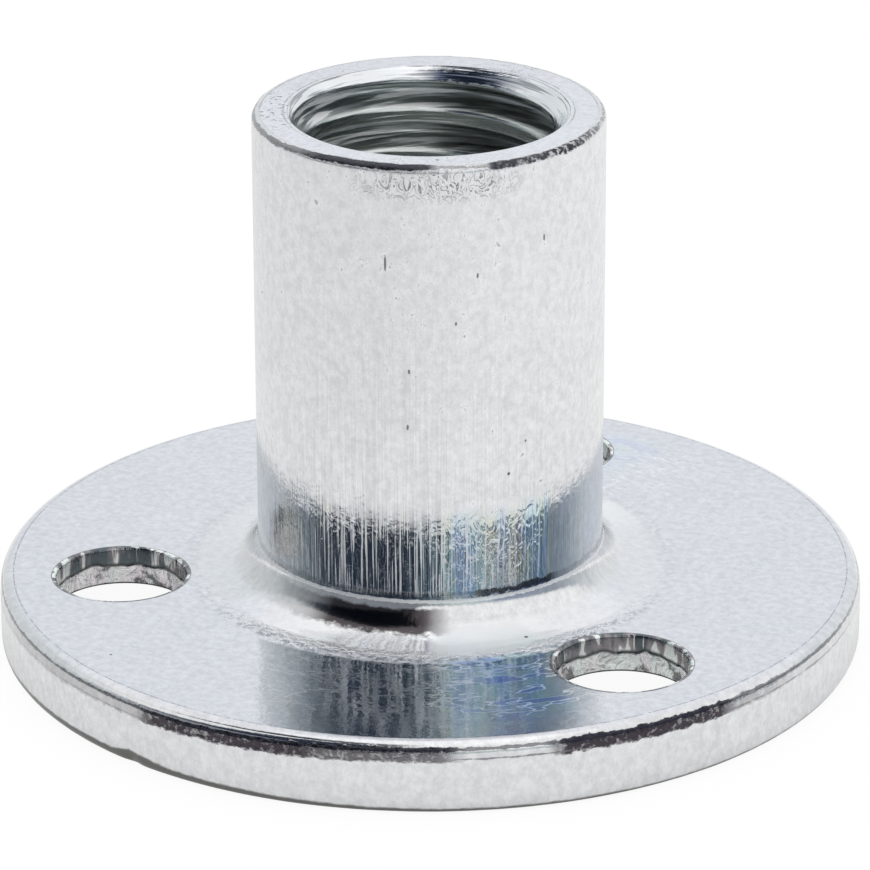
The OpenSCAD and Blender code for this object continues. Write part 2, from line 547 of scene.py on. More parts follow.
def stretched(point, scale):
    """The point with each axis multiplied, so that a pattern on it is drawn out."""
    node = point.tree.nodes.new("ShaderNodeVectorMath")
    node.operation = "MULTIPLY"
    return point.made_by(node, point, scale)


def grain(point, scale, detail=2.0, roughness=0.5, twist=0.0):
    """A noise from 0 to 1 with that many features to the millimetre."""
    node = added(point.tree, "ShaderNodeTexNoise", {
        "Vector": point, "Scale": scale, "Detail": detail, "Roughness": roughness,
        "Distortion": twist,
    })
    return Reading(point.tree, node)


def blended(factor, first, second, how="MIX"):
    """A colour Mix node."""
    tree = next(each.tree for each in (factor, first, second) if isinstance(each, Reading))
    node = tree.nodes.new("ShaderNodeMix")
    node.data_type = "RGBA"
    node.blend_type = how
    wire(tree, factor, node.inputs["Factor"])
    for label, colour in (("A", first), ("B", second)):
        wire(tree, (*colour, 1) if isinstance(colour, tuple) else colour, node.inputs[label])
    return Reading(tree, node.outputs["Result"])


def hat(value, middle, half_width):
    """1 where value is at the middle, 0 where it is half_width or more away."""
    away = (value - middle).worked("ABSOLUTE")
    return away.ramp(0.0, half_width, 1.0, 0.0, "SMOOTHSTEP")


# The plating's own surface, which every zinc finish on the nut has in some measure
plating = bpy.data.node_groups.new("plating", "ShaderNodeTree")
for label, kind, value in (
    ("Point", "NodeSocketVector", None),
    ("Peel Height", "NodeSocketFloat", 0.003),
    ("Pit Share", "NodeSocketFloat", 0.1),
):
    item = plating.interface.new_socket(label, in_out="INPUT", socket_type=kind)
    if value is not None:
        item.default_value = value
for label in ("Height", "Cloud", "Pit"):
    plating.interface.new_socket(label, in_out="OUTPUT", socket_type="NodeSocketFloat")
given = readings(plating, plating.nodes.new("NodeGroupInput"))
sent = plating.nodes.new("NodeGroupOutput").inputs
fine_peel = grain(given["Point"], 6.0, 1.0, 0.6)
peel = grain(given["Point"], 2.1, 2.0, 0.6) + fine_peel * 0.35
cells = readings(plating, added(plating, "ShaderNodeTexVoronoi", {
    "Vector": given["Point"], "Scale": 0.9,
}))
chosen = readings(plating, added(plating, "ShaderNodeSeparateColor", {0: cells["Color"]}))
picked = chosen["Red"].worked("LESS_THAN", given["Pit Share"])
ragged = cells["Distance"] + fine_peel * 0.06
reach = chosen["Green"].ramp(0.0, 1.0, 0.06, 0.12)
pit = picked * ragged.ramp(reach * 0.55, reach, 1.0, 0.0)
wire(plating, pit, sent["Pit"])
wire(plating, grain(given["Point"], 0.55, 4.0, 0.62), sent["Cloud"])
wire(plating, peel * given["Peel Height"], sent["Height"])


def plated(point, peel_height, pit_share):
    """The plating group with its own values."""
    node = point.tree.nodes.new("ShaderNodeGroup")
    node.node_tree = plating
    point.made_by(node, point, peel_height, pit_share)
    return readings(point.tree, node)


def relief(tree, shader, height_mm):
    """A height in mm as bump on the shader."""
    bump = added(tree, "ShaderNodeBump", {"Height": height_mm, "Distance": MM, "Strength": 1.0})
    wire(tree, bump, shader.inputs["Normal"])


def distance_and_bearing(x, y):
    """How far a place is from the Z axis, and its bearing: 0 at -180 degrees, 1 at 180."""
    distance = (x * x + y * y).worked("SQRT")
    return distance, y.worked("ARCTAN2", x).ramp(-math.pi, math.pi)


def round_the_axis(bearing, stops_wanted):
    """A value or colour that goes by the bearing round the axis, from (degrees, value) stops."""
    node = bearing.tree.nodes.new("ShaderNodeValToRGB")
    stops = node.color_ramp.elements
    while len(stops) > 1:
        stops.remove(stops[-1])
    for i, (degrees, value) in enumerate(stops_wanted):
        where = (degrees + 180) / 360
        stop = stops[0] if i == 0 else stops.new(where)
        stop.position = where
        stop.color = (*value, 1) if isinstance(value, tuple) else (value, value, value, 1)
    return bearing.made_by(node, bearing)


def band(value, middle, half_width, edge_grain, raggedness):
    """1 in a band round the middle and 0 outside it, with a ragged edge."""
    away = (value - middle).worked("ABSOLUTE")
    away = away + (edge_grain - 0.5) * raggedness
    inner = half_width * 0.75
    return away.ramp(inner, half_width, 1.0, 0.0)


# Outer skin: flange, rim and barrel. Bearings are in degrees from +X, heights in mm.
tree, shader, point = finish_tree(plate_finish, 0.2)
x, y, up = parts_of(tree, point)
radius, bearing = distance_and_bearing(x, y)

# How far up the streaks from drawing are strong, where they die out, and how deep marks are
STRONG_STREAKS_TO = 6.2
STREAKS_FADE_FROM = 7.5
STREAKS_FADE_TO = 14.5
FINE_STREAK_RELIEF = 0.024
BROAD_STREAK_RELIEF = 0.05
CURL_RELIEF = 0.05
FLANGE_CURL_RELIEF = 0.004
WAVE_RELIEF = 0.025
CRUMBLE_RELIEF = 0.13
WALL_FOOT = RIM_H + ROOT_R
skin = plated(point, 0.008, 0.12)
on_barrel = radius.ramp(BARREL_R + 0.15, BARREL_R + 0.5, 1.0, 0.0) * up.ramp(3.0, 3.6)
low_barrel = on_barrel * up.ramp(STRONG_STREAKS_TO + 1, STRONG_STREAKS_TO, 0.0, 1.0, "SMOOTHSTEP")
low_barrel = low_barrel * up.ramp(3.6, 3.8)
drawn = on_barrel * up.ramp(STREAKS_FADE_TO, STREAKS_FADE_FROM, 0.15, 1.0)
drawn = drawn * up.ramp(WALL_FOOT - 0.3, WALL_FOOT)
drawn *= round_the_axis(bearing, [
    (-180, 0.5), (-120, 0.4), (-104, 1.0), (-60, 1.0), (-40, 0.7), (-28, 0.8), (-22, 0.25),
    (26, 0.3), (50, 0.9), (110, 1.0), (140, 0.5), (180, 0.5),
])
fine_streaks = grain(stretched(point, (1, 1, 0.02)), 15.0, 1.0, 0.6)
broad_streaks = grain(stretched(point, (1, 1, 0.16)), 1.5, 2.0, 0.5)
streaks = fine_streaks * FINE_STREAK_RELIEF + broad_streaks * BROAD_STREAK_RELIEF
# Painted highlight: white lines along the streaks low on the barrel, also made rougher
bright_lines = low_barrel * fine_streaks.ramp(0.57, 0.59) * drawn.ramp(0.3, 0.9)
curl_weight = round_the_axis(bearing, [
    (-180, 0.2), (-112, 0.2), (-98, 0.5), (-88, 0.15), (-64, 0.15), (-60, 1.0), (-30, 0.9),
    (-24, 0.1), (40, 0.3), (60, 1.0), (90, 0.2), (150, 0.6), (180, 0.2),
])
curls = grain(stretched(point, (1, 1, 0.6)), 2.6, 2.0, 0.62, 1.2)
waves = grain(point, 0.35, 1.0, 0.4)
crumble = grain(point, 4.4, 2.0, 0.7)
above_web = up.ramp(WEB_Z + 0.35, WEB_Z + 0.85)
ROOT_DISH = 0.3
root_dish = above_web * radius.ramp(BARREL_R + 0.8, 8.45, ROOT_DISH, 0.0, "SMOOTHSTEP")
crumbling = round_the_axis(bearing, [
    (-180, 0.2), (-128, 0.25), (-110, 1.0), (-28, 1.0), (-10, 0.5), (4, 0.2), (60, 0.3), (90, 0.6),
    (120, 0.2), (180, 0.2),
])
at_root = crumbling * hat(radius, BARREL_R + ROOT_R + 0.85, 0.6) * up.ramp(3.1, 2.7)
on_flange = up.ramp(RIM_H - 0.1, RIM_H - 0.02)
on_flange = on_flange * up.ramp(RIM_H + 0.1, RIM_H + 0.3, 1.0, 0.0)
height = (
    skin["Height"] * on_flange.ramp(0.0, 1.0, 1.0, 0.55)
    + drawn * streaks
    + low_barrel * curl_weight * curls * CURL_RELIEF
    + on_flange * curls * FLANGE_CURL_RELIEF
    + waves * WAVE_RELIEF
    + at_root * crumble * CRUMBLE_RELIEF
    + root_dish
)

# The torn line round the rim: its upper edge is painted dark as a reflection, and below it a torn band
# that comes and goes is a real tear in the relief, painted near black as a dark reflection, with thin
# painted dark lines at its foot and at the top of the round edge
on_rim = radius.ramp(FLANGE_R - 0.5, FLANGE_R - 0.44)
tear_grain = grain(stretched(point, (1, 1, 1.8)), 2.4, 3.0, 0.72)
edge_weight = round_the_axis(bearing, [
    (-180, 0.15), (-150, 0.35), (-126, 0.45), (-106.5, 0.5), (-105, 1.0), (-64, 1.0), (-62, 0.65),
    (-51, 0.65), (-49.5, 1.0), (-26, 1.0), (-24, 0.55), (0, 0.45), (12, 0.2), (40, 0.6), (60, 1.0),
    (95, 0.9), (110, 0.4), (140, 0.8), (165, 0.5), (180, 0.15),
])
edge_width = edge_weight.ramp(0.0, 1.0, 0.025, 0.075)
TEAR_TOP = 2.35
TEAR_MIDDLE = 2.16
TEAR_FOOT = 2.02
TEAR_DEPTH = 0.07
rim_drop = round_the_axis(bearing, [
    (-180, 0.2), (-112, 0.6), (-100, 1.0), (-86, 0.7), (-74, 0.25), (-50, 0.2), (0, 0.2),
    (180, 0.2),
])
band_at = up + rim_drop * 0.16
# Painted dark reflection: a dark line along the rim's top round edge
upper_edge_shade = on_rim * band(band_at, TEAR_TOP, edge_width, tear_grain, 0.16)
tear_weight = round_the_axis(bearing, [
    (-180, 0.0), (-150, 0.05), (-132, 0.3), (-107, 0.35), (-105, 1.0), (-83, 1.0), (-81, 0.88),
    (-65, 0.82), (-62, 0.04), (-52, 0.04), (-49.5, 1.0), (-26, 1.0), (-24.5, 0.45), (-18, 0.35),
    (-12, 0.1), (12, 0.05), (40, 0.1), (62, 0.9), (92, 0.8), (108, 0.1), (138, 0.8), (160, 0.5),
    (180, 0.0),
])
# Painted dark reflection: the torn band is painted near black over its real relief
torn_band_and_shade = on_rim * band(band_at, TEAR_MIDDLE, 0.25, tear_grain, 0.36)
torn_band_and_shade = torn_band_and_shade * tear_weight * crumble.ramp(0.52, 0.7, 1.0, 0.6)
# Thin dark lines are painted along the band's foot and at the top of the round edge
lower_line = on_rim * band(band_at, TEAR_FOOT, 0.03, tear_grain, 0.16)
lower_line *= round_the_axis(bearing, [
    (-180, 0.0), (-128, 0.2), (-110, 0.6), (-103, 0.0), (-66, 0.0), (-62, 0.8), (-50, 0.8),
    (-46, 0.0), (-27, 0.0), (-24, 0.7), (0, 0.6), (16, 0.1), (100, 0.5), (120, 0.1), (180, 0.0),
])
top_line = (
    band(radius, FLANGE_R - RIM_TOP_R + 0.02, 0.03, tear_grain, 0.2)
    * up.ramp(RIM_H - 0.1, RIM_H - 0.05)
    * tear_grain.ramp(0.42, 0.5, 0.1, 0.6)
)
# Painted dark reflection: the round edge at the rim's foot is painted dark, widest on one side, for the
# shade of the floor close under it
foot_weight = round_the_axis(bearing, [
    (-180, 0.4), (-150, 0.55), (-111, 0.58), (-108.5, 0.95), (-105, 0.72), (-101, 0.5), (-80, 0.28),
    (-66, 0.16), (-30, 0.1), (20, 0.2), (80, 0.4), (84, 0.7), (88, 0.4), (130, 0.5), (180, 0.4),
])
foot_height = foot_weight.ramp(0.0, 1.0, 0.1, 0.56)
foot_edge = up + (tear_grain - 0.5) * 0.12
foot_shade_line = on_rim * foot_edge.ramp(foot_height, foot_height + 0.08, 1.0, 0.0)
CROWN_H = 0.034
crown = above_web * rim_drop * radius.ramp(FLANGE_R - 0.17, FLANGE_R - 0.08, 0.0, CROWN_H)
height = height + torn_band_and_shade * tear_grain * TEAR_DEPTH + crown

# The burr round the mouth, painted near black along the edge as a dark reflection, and the marks that
# the facing tool left just below it
burr_weight = round_the_axis(bearing, [
    (-180, 0.15), (-150, 0.3), (-114, 0.5), (-99, 0.95), (-68, 1.0), (-63, 0.1), (-48, 0.08),
    (-46, 0.8), (-30, 0.75), (-14, 0.85), (6, 0.5), (14, 0.05), (40, 0.1), (90, 0.6), (140, 0.2),
    (180, 0.15),
])
burr_way = round_the_axis(bearing, [
    (-180, 0.4), (-99, 0.0), (-60, 0.0), (-44, 0.55), (0, 1.0), (100, 0.5),
])
burr_width = burr_weight.ramp(0.0, 1.0, 0.05, 0.28)
on_edge = radius.ramp(BARREL_R - 0.42, BARREL_R - 0.4)
on_edge = on_edge * up.ramp(TOTAL_H - 0.9, TOTAL_H - 0.85)
round_edge = up + (BARREL_R - TOTAL_H) - radius
burr_rise = round_the_axis(bearing, [
    (-180, 0.02), (-124, 0.0), (-98, 0.16), (-64, 0.18), (-50, 0.05), (0, 0.07), (180, 0.02),
])
burr_middle = burr_rise - 0.02
burr = on_edge * band(round_edge, burr_middle, burr_width, tear_grain, 0.34)
burr_gaps = crumble.ramp(0.48, 0.58, 1.0, 0.2)
burr = burr * burr_way.ramp(0.5, 0.8, 1.0, burr_gaps)
height = height + burr * tear_grain * TEAR_DEPTH
tool_marks = curls.ramp(0.425, 0.395)
tool_marks = tool_marks.worked("MAXIMUM", hat(curls, 0.56, 0.02).ramp(0.3, 0.7))
marked = (
    on_barrel
    * hat(up, TOTAL_H - 0.6, 0.75)
    * round_the_axis(bearing, [
        (-180, 0.0), (-94, 0.0), (-86, 0.3), (-76, 0.9), (-50, 1.0), (-42, 0.4), (-34, 0.0),
        (60, 0.0), (80, 0.7), (95, 0.0), (180, 0.0),
    ])
    * tool_marks
)
height = height - marked * 0.045
on_mouth = up.ramp(TOTAL_H - 0.03, TOTAL_H - 0.01) * radius.ramp(BARREL_R - 0.25, BARREL_R - 0.3)
blow_holes = on_mouth * crumble.ramp(0.6, 0.63) * round_the_axis(bearing, [
    (-180, 0.2), (-172, 1.0), (-140, 1.0), (-132, 0.1), (60, 0.0), (80, 0.5), (100, 0.0),
    (180, 0.2),
])
lip_line = band(radius, MOUTH_R + 0.13, 0.035, tear_grain, 0.25)
lip_weight = round_the_axis(bearing, [
    (-180, 0.9), (-150, 0.9), (-130, 0.4), (-110, 0.05), (0, 0.05), (12, 0.8), (30, 0.6), (42, 0.2),
    (50, 0.9), (80, 0.8), (90, 0.1), (150, 0.1), (160, 0.8), (180, 0.9),
])
lip_line = lip_line * lip_weight * up.ramp(TOTAL_H - 0.06, TOTAL_H - 0.03)
height = height + on_mouth * waves * 0.06 - blow_holes * 0.03
relief(tree, shader, height)

tone = blended(skin["Cloud"], (0.745, 0.75, 0.765), (0.835, 0.84, 0.845))
flecks = grain(stretched(point, (1, 1, 0.8)), 3.4, 3.0, 0.72)
mottled = flecks.ramp(0.35, 0.65, 0.9, 1.08)
# Painted highlight: the mouth's top face is painted up to 9% lighter on one side
mouth_highlight = round_the_axis(bearing, [
    (-180, 0.6), (-120, 0.8), (-70, 1.0), (-30, 0.9), (60, 0.45), (120, 0.1),
])
mottled = mottled * (on_mouth * mouth_highlight).ramp(0.0, 1.0, 1.0, 1.09)
line_tone = fine_streaks.ramp(0.35, 0.65, 0.93, 1.07)
mottled = mottled * (1.0 + drawn * (line_tone - 1.0))
tone = blended(1.0, tone, mottled, "MULTIPLY")
fleck_limit = up.ramp(12.0, TOTAL_H, 0.7, 0.65)
dark_flecks = (flecks - fleck_limit).ramp(0.0, 0.05, 0.0, 0.6)
worm_weight = round_the_axis(bearing, [
    (-180, 0.1), (-104, 0.15), (-92, 0.6), (-80, 1.0), (-56, 0.9), (-42, 0.3), (0, 0.15), (60, 0.7),
    (100, 0.2), (180, 0.1),
])
worms = hat(curls, 0.5, 0.016) * flecks.ramp(0.5, 0.6) * worm_weight
worms = on_barrel * worms * up.ramp(8.5, 12.0, 0.3, 1.0)
tone = blended(worms * 0.6, tone, (0.26, 0.27, 0.29))
tone = blended(on_barrel * dark_flecks, tone, (0.22, 0.22, 0.23))

cool_share = on_flange.worked("MAXIMUM", on_mouth)
tone = blended(cool_share, tone, blended(1.0, tone, (0.985, 1.0, 1.045), "MULTIPLY"))

# A few small knocks on the barrel, each at a bearing and a height and with its half length
KNOCK_HALF_TURN = 0.0016
KNOCK_TONE = (0.13, 0.12, 0.11)
for at_bearing, at_height, half_length in (
    (-80.5, 15.75, 0.42), (-73, 11.9, 0.16), (-73.5, 9.9, 0.14), (-51, 15.3, 0.12),
    (-58, 13.6, 0.10), (-27, 16.2, 0.12), (-83, 5.75, 0.14), (-34, 9.1, 0.1),
    (60, 12.5, 0.3), (118, 8.4, 0.2), (160, 14.2, 0.2),
):
    across = hat(bearing, (at_bearing + 180) / 360, KNOCK_HALF_TURN)
    knock = across * hat(up + flecks * 0.3, at_height + 0.15, half_length)
    knock = on_barrel * knock.ramp(0.15, 0.4, 0.0, 0.85)
    tone = blended(knock, tone, KNOCK_TONE)

# Where the passivate film is thicker, low on the barrel, it shows its colours. Over it, dark lines on
# one side are painted dark reflection and white lines are painted highlight
film_colour = tree.nodes.new("ShaderNodeValToRGB")
film_stops = film_colour.color_ramp.elements
film_stops[0].position, film_stops[0].color = 0.36, (0.42, 0.56, 0.92, 1)
film_stops[1].position, film_stops[1].color = 0.66, (0.90, 0.92, 0.68, 1)
for where, colour in ((0.45, (0.60, 0.85, 0.90, 1)), (0.55, (0.72, 0.92, 0.78, 1))):
    film_stops.new(where).color = colour
wire(tree, broad_streaks, film_colour.inputs[0])
film_weight = round_the_axis(bearing, [
    (-180, 0.0), (-118, 0.0), (-110, 0.2), (-100, 0.1), (-66, 0.12), (-60, 0.45), (-36, 0.45),
    (-33, 0.9), (-26, 0.9), (-22, 0.1), (30, 0.0), (60, 0.4), (80, 0.0), (130, 0.3), (160, 0.0),
    (180, 0.0),
])
tone = blended(low_barrel * film_weight, tone, film_colour)
blue_lines = low_barrel * fine_streaks.ramp(0.52, 0.56)
blue_lines *= round_the_axis(bearing, [
    (-180, 0.0), (-62, 0.0), (-56, 0.5), (-40, 0.3), (-33, 1.0), (-25, 1.0), (-22, 0.0),
    (60, 0.4), (90, 0.0), (180, 0.0),
])
tone = blended(blue_lines * 0.8, tone, (0.16, 0.3, 0.75))
# Painted dark reflection: dark streaks on one side low on the barrel
dark_lines = low_barrel * fine_streaks.ramp(0.53, 0.47)
dark_lines *= round_the_axis(bearing, [
    (-180, 0.0), (-112, 0.0), (-103, 0.9), (-66, 0.9), (-60, 0.3), (-28, 0.25), (-22, 0.0),
    (60, 0.3), (90, 0.5), (130, 0.0), (180, 0.0),
])
tone = blended(dark_lines * 0.75, tone, (0.2, 0.2, 0.24))
tone = blended(bright_lines * 0.85, tone, (1.0, 1.0, 1.0))

# Fine bright crystals in the film, low on the barrel and on the seating face beside it, painted whitest
# on one side as a highlight, and a painted highlight line along the top of the root radius
frost_weight = round_the_axis(bearing, [
    (-180, 0.1), (-104, 0.1), (-94, 0.5), (-88, 0.45), (-68, 0.45), (-62, 1.0), (-42, 1.0),
    (-34, 0.5), (-26, 0.1), (56, 0.1), (66, 0.8), (90, 0.6), (100, 0.1), (180, 0.1),
])
FROST_R = 12.6
ROOT_END_R = 8.7
outside_root = on_flange * radius.ramp(FROST_R + 1.3, FROST_R)
outside_root = outside_root * radius.ramp(ROOT_END_R - 0.4, ROOT_END_R)
# How many times as wide as its radius a whole turn counts, so that the ripples run round
RIPPLE_SHARE = 21.0
unrolled = radius.made_by(tree.nodes.new("ShaderNodeCombineXYZ"), radius, bearing * RIPPLE_SHARE)
ripples = grain(unrolled, 1.6, 2.0, 0.62)
frost_lines = outside_root * hat(ripples, 0.47, 0.03)
frost_curls = low_barrel * hat(curls, 0.47, 0.03)
# Painted highlight: a thin white line along the top of the root radius
root_ridge = above_web * radius.ramp(7.0, 6.9) * band(up, 3.6, 0.07, crumble, 0.12)
frost_and_highlight = frost_lines.worked("MAXIMUM", frost_curls)
frost_and_highlight = (frost_and_highlight * frost_weight).worked("MAXIMUM", root_ridge)
tone = blended(frost_and_highlight * 0.8, tone, (1.0, 1.0, 1.0))
film_on_face = outside_root * round_the_axis(bearing, [
    (-180, 0.0), (-66, 0.0), (-62, 0.4), (-58, 0.3), (-54, 0.8), (-46, 0.8), (-44, 0.0),
    (70, 0.0), (80, 0.3), (90, 0.0), (180, 0.0),
])
face_film = blended(ripples.ramp(0.4, 0.55), (0.36, 0.5, 0.95), (0.66, 0.84, 0.9))
tone = blended(film_on_face, tone, face_film)
crumb_shade = at_root * crumble.ramp(0.5, 0.42, 0.0, 0.9)
tone = blended(crumb_shade, tone, (0.13, 0.16, 0.21))
# Painted highlight: the root radius and the seating face beside it are painted near white, brightest on
# one side, and made rougher
root_highlight = (
    above_web
    * radius.ramp(BARREL_R + 0.35, BARREL_R + 0.6)
    * (radius + crumble * 0.8).ramp(8.8, 8.5)
    * round_the_axis(bearing, [
        (-180, 0.3), (-120, 0.2), (-98, 0.8), (-64, 0.9), (-60, 1.0), (-42, 1.0), (-30, 0.4),
        (40, 0.2), (60, 0.9), (90, 0.9), (100, 0.2), (180, 0.3),
    ])
)
tone = blended(root_highlight * 0.9, tone, (0.98, 0.985, 0.99))

# What is dark: pits, marks and the edges of the holes, and painted dark reflections along the rim's top
# edge, torn band and foot, along the mouth's burr and on the barrel's root radius
PIT_TONE = (0.16, 0.16, 0.17)
# The near-black tone below is for painted dark reflections on the rim's top edge and the mouth's burr
DARK_REFLECTION_TONE = (0.03, 0.03, 0.045)
tone = blended(skin["Pit"], tone, PIT_TONE)
tone = blended(blow_holes * 0.8, tone, PIT_TONE)
tone = blended(marked * 0.8, tone, (0.14, 0.14, 0.15))
from_first_hole = y.worked("ARCTAN2", x) - math.pi / 2
to_hole = from_first_hole.worked("WRAP", math.pi / HOLE_COUNT, -math.pi / HOLE_COUNT)
to_hole = to_hole.worked("COSINE")
across_hole = radius * to_hole * (-2 * HOLE_CIRCLE_R)
from_hole = radius * radius + HOLE_CIRCLE_R ** 2 + across_hole
from_hole = from_hole.worked("MAXIMUM", 0.0).worked("SQRT")
hole_edge = on_flange * band(from_hole, HOLE_R + ROLL_OVER_R + 0.03, 0.035, tear_grain, 0.05)
tone = blended(hole_edge * 0.75, tone, (0.12, 0.13, 0.14))
tone = blended(torn_band_and_shade * 0.97, tone, (0.045, 0.036, 0.045))
tone = blended(upper_edge_shade * edge_weight.ramp(0.0, 1.0, 0.2, 0.95), tone, DARK_REFLECTION_TONE)
tone = blended(lower_line.worked("MAXIMUM", top_line), tone, (0.2, 0.2, 0.22))
tone = blended(foot_shade_line * 0.9, tone, (0.105, 0.105, 0.098))
tone = blended(lip_line * tear_grain.ramp(0.4, 0.55, 0.2, 0.8), tone, (0.14, 0.15, 0.17))
# Painted dark reflection: the burr's band along the mouth's edge is painted near black
tone = blended(burr * burr_weight.ramp(0.25, 0.8, 0.4, 0.96), tone, DARK_REFLECTION_TONE)
# Painted dark reflection: a dark band on the barrel's root radius, strongest on one side, and a dark
# line at the foot of the barrel's wall
root_weight = round_the_axis(bearing, [
    (-180, 0.1), (-125, 0.1), (-106, 0.4), (-98, 1.0), (-68, 1.0), (-60, 0.0), (40, 0.0), (60, 0.6),
    (90, 0.5), (100, 0.0), (140, 0.5), (180, 0.1),
])
root_shade = band(up, 3.04, 0.38, tear_grain, 0.3) * root_weight
wall_shade_line_weight = round_the_axis(bearing, [
    (-180, 0.1), (-106, 0.2), (-62, 0.3), (-54, 0.3), (-50, 0.9), (-24, 0.9), (-20, 0.2),
    (100, 0.2), (110, 0.7), (140, 0.7), (150, 0.1), (180, 0.1),
])
wall_shade_line = band(up, WALL_FOOT - 0.15, 0.12, tear_grain, 0.5) * wall_shade_line_weight
near_wall = radius.ramp(BARREL_R + 1.0, BARREL_R + 0.8)
wall_shade = near_wall * root_shade.worked("MAXIMUM", wall_shade_line) * 0.95
tone = blended(wall_shade, tone, (0.05, 0.04, 0.045))
wire(tree, tone, shader.inputs["Base Color"])
gloss = (
    0.1
    + skin["Cloud"] * 0.09
    + on_barrel * up.ramp(6.0, 11.0, -0.06, 0.13)
    + bright_lines * 0.38
    + frost_and_highlight * 0.38
    + root_highlight * frost_weight.ramp(0.5, 0.9) * 0.34
    - on_flange * 0.06
    + skin["Pit"] * 0.3
)
wire(tree, gloss, shader.inputs["Roughness"])

# Bore: the same zinc, duller and a little oily. The crests are burnished, and the flanks carry
# fine marks that run round with the thread.
tree, shader, point = finish_tree(bore_finish, 0.2)
skin = plated(point, 0.006, 0.1)
x, y, up = parts_of(tree, point)
bore_radius, bore_bearing = distance_and_bearing(x, y)
flank = bore_radius.ramp(CREST_R + 0.03, CREST_R + 0.14)
chamfer = up.ramp(TOTAL_H - CHAMFER_H, TOTAL_H - CHAMFER_H + 0.05)
marks = grain(stretched(point, (0.035, 0.035, 1)), 9.0, 2.0, 0.6)
relief(tree, shader, skin["Height"] + marks * 0.03)
# Painted shade: the flank tone is lowered round most of the bore, most near 96 degrees beside the
# painted dark patch
flank_shading = round_the_axis(bore_bearing, [
    (-180, 1.0), (-150, 0.8), (-60, 0.8), (20, 0.8), (60, 0.7), (96, 0.55), (106, 0.7), (114, 1.0),
    (180, 1.0),
])
flank_tone = flank_shading * marks.ramp(0.42, 0.56, 0.42, 1.1)
flank_tone = flank.ramp(0.0, 1.0, 0.72, flank_tone)
flank_tone = chamfer.ramp(0.0, 1.0, flank_tone, marks.ramp(0.38, 0.44, 0.5, 1.05))
tone = blended(skin["Cloud"], (0.76, 0.83, 0.81), (0.9, 0.94, 0.92))
tone = blended(chamfer, tone, (0.84, 0.86, 0.88))
tone = blended(1.0, tone, flank_tone, "MULTIPLY")
scuffs = flank * chamfer.ramp(0.0, 1.0, 1.0, 0.0) * marks.ramp(0.52, 0.55)
scuffs *= round_the_axis(bore_bearing, [
    (-180, 0.9), (-150, 0.6), (-110, 0.2), (0, 0.2), (90, 0.15), (104, 0.4), (116, 1.0),
    (180, 0.9),
])
tone = blended(scuffs, tone, (1.0, 1.0, 1.0))
# Painted dark reflection: a blue-black patch on one side of the chamfer below the mouth
bore_shade = band(up, TOTAL_H - 0.27, 0.17, grain(point, 1.9, 3.0, 0.65), 0.5)
bore_shade *= round_the_axis(bore_bearing, [
    (-180, 0.0), (60, 0.0), (84, 0.8), (108, 0.95), (119, 0.0), (180, 0.0),
])
tone = blended(bore_shade, tone, (0.07, 0.1, 0.17))
wire(tree, tone, shader.inputs["Base Color"])
dull = flank * chamfer.ramp(0.0, 1.0, 0.16, 0.0)
wire(tree, 0.13 + skin["Cloud"] * 0.12 + dull + scuffs * 0.35, shader.inputs["Roughness"])

# Holes: a burnished land above a torn zone that took the plating unevenly
tree, shader, point = finish_tree(hole_finish, 0.25)
skin = plated(point, 0.006, 0.15)
x, y, up = parts_of(tree, point)
wander = (grain(stretched(point, (1, 1, 0)), 0.9, 2.0) - 0.5) * 0.5
torn_edge = up + wander - (WEB_Z + BREAKOUT_H)
torn = torn_edge.ramp(-0.04, 0.04, 1.0, 0.0)
crumbs = grain(point, 1.35, 4.0, 0.66, 0.6)
punch_marks = grain(stretched(point, (1, 1, 0.08)), 2.4, 3.0, 0.6)
rough = torn * crumbs * 0.3 + punch_marks * 0.08
relief(tree, shader, skin["Height"] + rough)
# Painted dark reflection: the burnished land is painted dark grey, with lighter patches
land_patch = grain(stretched(point, (1, 1, 0.3)), 0.9, 3.0, 0.7)
tone = blended(land_patch.ramp(0.46, 0.56), (0.13, 0.155, 0.17), (0.4, 0.365, 0.375))
# Painted highlight: pale, rougher patches on the holes' land, more of them in the hole at negative x
LEFT_HOLE_X = -5.0
patch_from = x.ramp(LEFT_HOLE_X, LEFT_HOLE_X + 1, 0.535, 0.565)
punch_from = x.ramp(LEFT_HOLE_X, LEFT_HOLE_X + 1, 0.565, 0.6)
highlight_patch = land_patch.ramp(patch_from, patch_from + 0.02)
highlight_patch = highlight_patch.worked("MAXIMUM", punch_marks.ramp(punch_from, 0.62, 0.0, 0.9))
torn_tone = blended(land_patch.ramp(0.4, 0.6), (1.0, 0.94, 0.97), (0.94, 1.0, 0.97))
tone = blended(torn.worked("MAXIMUM", highlight_patch), tone, torn_tone)
crack = hat(torn_edge, 0.04, 0.13) * 0.95
tone = blended(crack, tone, (0.07, 0.08, 0.08))
crumb_shade = torn * crumbs.ramp(0.47, 0.38, 0.0, 0.85)
tone = blended(crumb_shade, tone, (0.12, 0.12, 0.13))
# Painted dark reflection: a dark line along the bottom of each hole's wall
low_edge_shade = up.ramp(WEB_Z + 0.09, WEB_Z + 0.05, 0.0, 0.95)
tone = blended(low_edge_shade, tone, (0.03, 0.03, 0.04))
wire(tree, tone, shader.inputs["Base Color"])
rough_share = torn.worked("MAXIMUM", highlight_patch)
wire(tree, 0.12 + rough_share * 0.25, shader.inputs["Roughness"])

